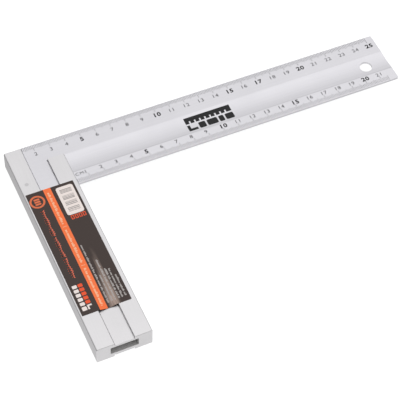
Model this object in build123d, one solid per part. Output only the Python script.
from build123d import *
import os

# A joiner's try square: a thick hollow stock and a thin graduated blade at a right angle.
# Everything is in millimetres. X runs along the blade towards its tip, Y runs along the stock
# towards the outer corner, and Z is up. The origin is the centre of the underside of the whole
# square's box. Widths are first measured from the stock's outer side and from the blade's outer
# edge, and every finished piece is then moved by TO_CENTRE.

# ---- driving dimensions ----
REACH = 253.7                  # stock's outer side to the blade's tip
ARM = 152.0                    # blade's outer edge to the stock's near end
SETBACK = 1.0                  # the stock's far end stops this far short of the blade's outer edge

# stock, seen in section
STOCK_WIDTH = 34.0
STOCK_HEIGHT = 13.0
STOCK_EDGE_ROUND = 0.8
GROOVE_WIDTH = 12.4
GROOVE_DEPTH = 1.35
GROOVE_ROUND = 0.2
RELIEF_WIDTH = 0.55            # the narrow slot along each side of a groove's floor
RELIEF_DEPTH = 0.7
END_CHAMFER = 0.2
CAVITY_WIDTH = 17.0
CAVITY_ROUND = 0.4
TOP_WALL = 1.8                 # between the top groove and the cavity
BOTTOM_WALL = 2.5              # between the cavity and the bottom groove

# blade, seen in section: distances from its outer edge, heights from its underside
BLADE_WIDTH = 38.7
BLADE_EDGE = TOP_WALL          # thickness of the flat outer band and of the tail
RIDGE_AT = 14.8                # where the outer band ends and the hollow begins
HOLLOW_MIDDLE_HEIGHT = 1.2
HOLLOW_END = 28.8
HOLLOW_END_HEIGHT = 1.5
INNER_BAND_START = 29.6
INNER_BAND_HEIGHT = 1.62
INNER_EDGE = 1.5               # thickness at the inner edge
TIP_CORNER_ROUND = 1.2
LONG_EDGE_CHAMFER = 0.15

# the blade's flat tail, let into a pocket in the top of the stock
TAIL_START = 3.0               # the tail stops this far inside the stock's outer side
LIP_CLEARANCE = 0.05           # between the blade's ridge and the lip over it

# hanging hole near the tip
HANG_HOLE_RADIUS = 4.0
HANG_HOLE_FROM_TIP = 15.2
HANG_HOLE_FROM_OUTER_EDGE = 22.5

# pins that lock the tail in its pocket
PIN_RADIUS = 1.25
OUTER_PIN = (4.8, 28.5)        # right through stock and tail, its ground end shows on the top face
BLIND_PINS = ((29.8, 7.5), (29.8, 34.0))
BLIND_PIN_COVER = 0.5          # metal left between a blind pin and the visible face above it

# adhesive label on the stock's top face
LABEL_WIDTH = 30.2
LABEL_LENGTH = 92.0
LABEL_THICKNESS = 0.12
LABEL_FROM_SIDE = 1.1
LABEL_FROM_OUTER_EDGE = 36.0

# ---- worked out ----
TO_CENTRE = Pos(-REACH / 2, ARM / 2, 0)
GROOVE_START = (STOCK_WIDTH - GROOVE_WIDTH) / 2
GROOVE_END = GROOVE_START + GROOVE_WIDTH
GROOVE_FLOOR = STOCK_HEIGHT - GROOVE_DEPTH
CAVITY_TOP = GROOVE_FLOOR - TOP_WALL
CAVITY_BOTTOM = GROOVE_DEPTH + BOTTOM_WALL
BLADE_UNDERSIDE = CAVITY_TOP
SLACK = 1.0                    # how far a cutting block runs past the face it opens


def block(x_range, y_range, z_range):
    """A box between two corners, with Y counted back from the blade's outer edge."""
    length = x_range[1] - x_range[0]
    width = y_range[1] - y_range[0]
    height = z_range[1] - z_range[0]
    corner = Pos(x_range[0], -y_range[1], z_range[0])
    return corner * Box(length, width, height, align=(Align.MIN, Align.MIN, Align.MIN))


def upright_rod(place, radius, z_range):
    """A vertical cylinder at a distance from the outer side and from the outer edge."""
    height = z_range[1] - z_range[0]
    foot = Pos(place[0], -place[1], z_range[0])
    return foot * Cylinder(radius, height, align=(Align.CENTER, Align.CENTER, Align.MIN))


def bar_section():
    """The plain rounded bar that the stock's section is cut from."""
    bar = RectangleRounded(STOCK_WIDTH, STOCK_HEIGHT, STOCK_EDGE_ROUND)
    return Pos(STOCK_WIDTH / 2, STOCK_HEIGHT / 2) * bar


def stock_section():
    """The extrusion: a rounded bar with a groove along the top and the bottom, and one cavity."""
    bar = bar_section()
    groove = Rectangle(GROOVE_WIDTH, 2 * GROOVE_DEPTH)
    bar -= Pos(STOCK_WIDTH / 2, STOCK_HEIGHT) * groove
    bar -= Pos(STOCK_WIDTH / 2, 0) * groove
    lips = [corner for corner in bar.vertices()
            if abs(abs(corner.X - STOCK_WIDTH / 2) - GROOVE_WIDTH / 2) < GROOVE_ROUND
            and abs(abs(corner.Y - STOCK_HEIGHT / 2) - STOCK_HEIGHT / 2) < GROOVE_ROUND]
    bar = fillet(lips, GROOVE_ROUND)
    relief = Rectangle(RELIEF_WIDTH, 2 * RELIEF_DEPTH)
    for middle in (GROOVE_START + RELIEF_WIDTH / 2, GROOVE_END - RELIEF_WIDTH / 2):
        bar -= Pos(middle, GROOVE_FLOOR) * relief
        bar -= Pos(middle, GROOVE_DEPTH) * relief
    cavity_height = CAVITY_TOP - CAVITY_BOTTOM
    cavity = RectangleRounded(CAVITY_WIDTH, cavity_height, CAVITY_ROUND)
    return bar - Pos(STOCK_WIDTH / 2, (CAVITY_TOP + CAVITY_BOTTOM) / 2) * cavity


def tail_pocket():
    """What is milled out of the stock's top to take the tail and the start of the blade."""
    beyond_end = (-SLACK, BLADE_WIDTH)
    lip_underside = BLADE_UNDERSIDE + BLADE_EDGE + LIP_CLEARANCE
    flat_part = block((TAIL_START, GROOVE_END), beyond_end, (BLADE_UNDERSIDE, GROOVE_FLOOR))
    full_part = block((GROOVE_END, STOCK_WIDTH + SLACK), beyond_end, (BLADE_UNDERSIDE, lip_underside))
    open_corner = block((GROOVE_END, STOCK_WIDTH + SLACK), (-SLACK, RIDGE_AT),
                        (BLADE_UNDERSIDE, STOCK_HEIGHT + SLACK))
    return flat_part + full_part + open_corner


def make_pins():
    """One pin right through the outer wall, and two blind ones driven up into the blade."""
    pins = [upright_rod(OUTER_PIN, PIN_RADIUS, (0, STOCK_HEIGHT))]
    for place in BLIND_PINS:
        pins.append(upright_rod(place, PIN_RADIUS, (0, GROOVE_FLOOR - BLIND_PIN_COVER)))
    return pins


def make_stock(pins):
    length = ARM - SETBACK
    envelope = extrude(Plane.XZ * bar_section(), amount=length)
    ends = envelope.faces().sort_by(Axis.Y)
    envelope = chamfer(ends[0].edges() + ends[-1].edges(), END_CHAMFER)
    run = envelope & extrude(Plane.XZ * stock_section(), amount=length)
    body = Pos(0, -SETBACK, 0) * run - tail_pocket()
    for pin in pins:
        body -= pin
    return body


def blade_section():
    """The blade's profile in the plane across it, from the outer edge round to the underside."""
    outer_top = (0, BLADE_EDGE)
    ridge = (-RIDGE_AT, BLADE_EDGE)
    hollow_middle = (-(RIDGE_AT + HOLLOW_END) / 2, HOLLOW_MIDDLE_HEIGHT)
    hollow_end = (-HOLLOW_END, HOLLOW_END_HEIGHT)
    inner_band = (-INNER_BAND_START, INNER_BAND_HEIGHT)
    inner_top = (-BLADE_WIDTH, INNER_EDGE)
    outline = [
        Line(outer_top, ridge),
        ThreePointArc(ridge, hollow_middle, hollow_end),
        Polyline(hollow_end, inner_band, inner_top, (-BLADE_WIDTH, 0), (0, 0), outer_top),
    ]
    section = make_face(Curve() + outline)
    rims = [corner for corner in section.vertices() if min(-corner.X, BLADE_WIDTH + corner.X) < SLACK / 2]
    return chamfer(rims, LONG_EDGE_CHAMFER)


def tail_reliefs():
    """The slots in the tail that carry the stock's groove reliefs on across it."""
    heights = (GROOVE_FLOOR - RELIEF_DEPTH, STOCK_HEIGHT)
    left = block((GROOVE_START, GROOVE_START + RELIEF_WIDTH), (-SLACK, BLADE_WIDTH + SLACK), heights)
    right = block((GROOVE_END - RELIEF_WIDTH, GROOVE_END), (RIDGE_AT, BLADE_WIDTH + SLACK), heights)
    return left + right


def make_blade(pins):
    profile = Plane.YZ * blade_section()
    full = Pos(GROOVE_END, 0, BLADE_UNDERSIDE) * extrude(profile, amount=REACH - GROOVE_END)
    tip_corners = full.edges().filter_by(Axis.Z).sort_by(Axis.X)[-2:]
    full = fillet(tip_corners, TIP_CORNER_ROUND)
    tail = block((TAIL_START, GROOVE_END), (0, BLADE_WIDTH), (BLADE_UNDERSIDE, GROOVE_FLOOR))
    tail = chamfer(tail.edges().filter_by(Axis.X).group_by(Axis.Y)[-1], LONG_EDGE_CHAMFER)
    body = full + tail - tail_reliefs()
    hang_hole = (REACH - HANG_HOLE_FROM_TIP, HANG_HOLE_FROM_OUTER_EDGE)
    body -= upright_rod(hang_hole, HANG_HOLE_RADIUS, (0, STOCK_HEIGHT))
    for pin in pins:
        body -= pin
    return body


def make_label():
    x_range = (LABEL_FROM_SIDE, LABEL_FROM_SIDE + LABEL_WIDTH)
    y_range = (LABEL_FROM_OUTER_EDGE, LABEL_FROM_OUTER_EDGE + LABEL_LENGTH)
    return block(x_range, y_range, (STOCK_HEIGHT, STOCK_HEIGHT + LABEL_THICKNESS))


pin_set = make_pins()
pieces = {
    "stock": make_stock(pin_set),
    "blade": make_blade(pin_set),
    "tail_pins": Compound(children=pin_set),
    "label": make_label(),
}

os.makedirs("parts", exist_ok=True)
for name, shape in pieces.items():
    export_step(TO_CENTRE * shape, f"parts/{name}.step")
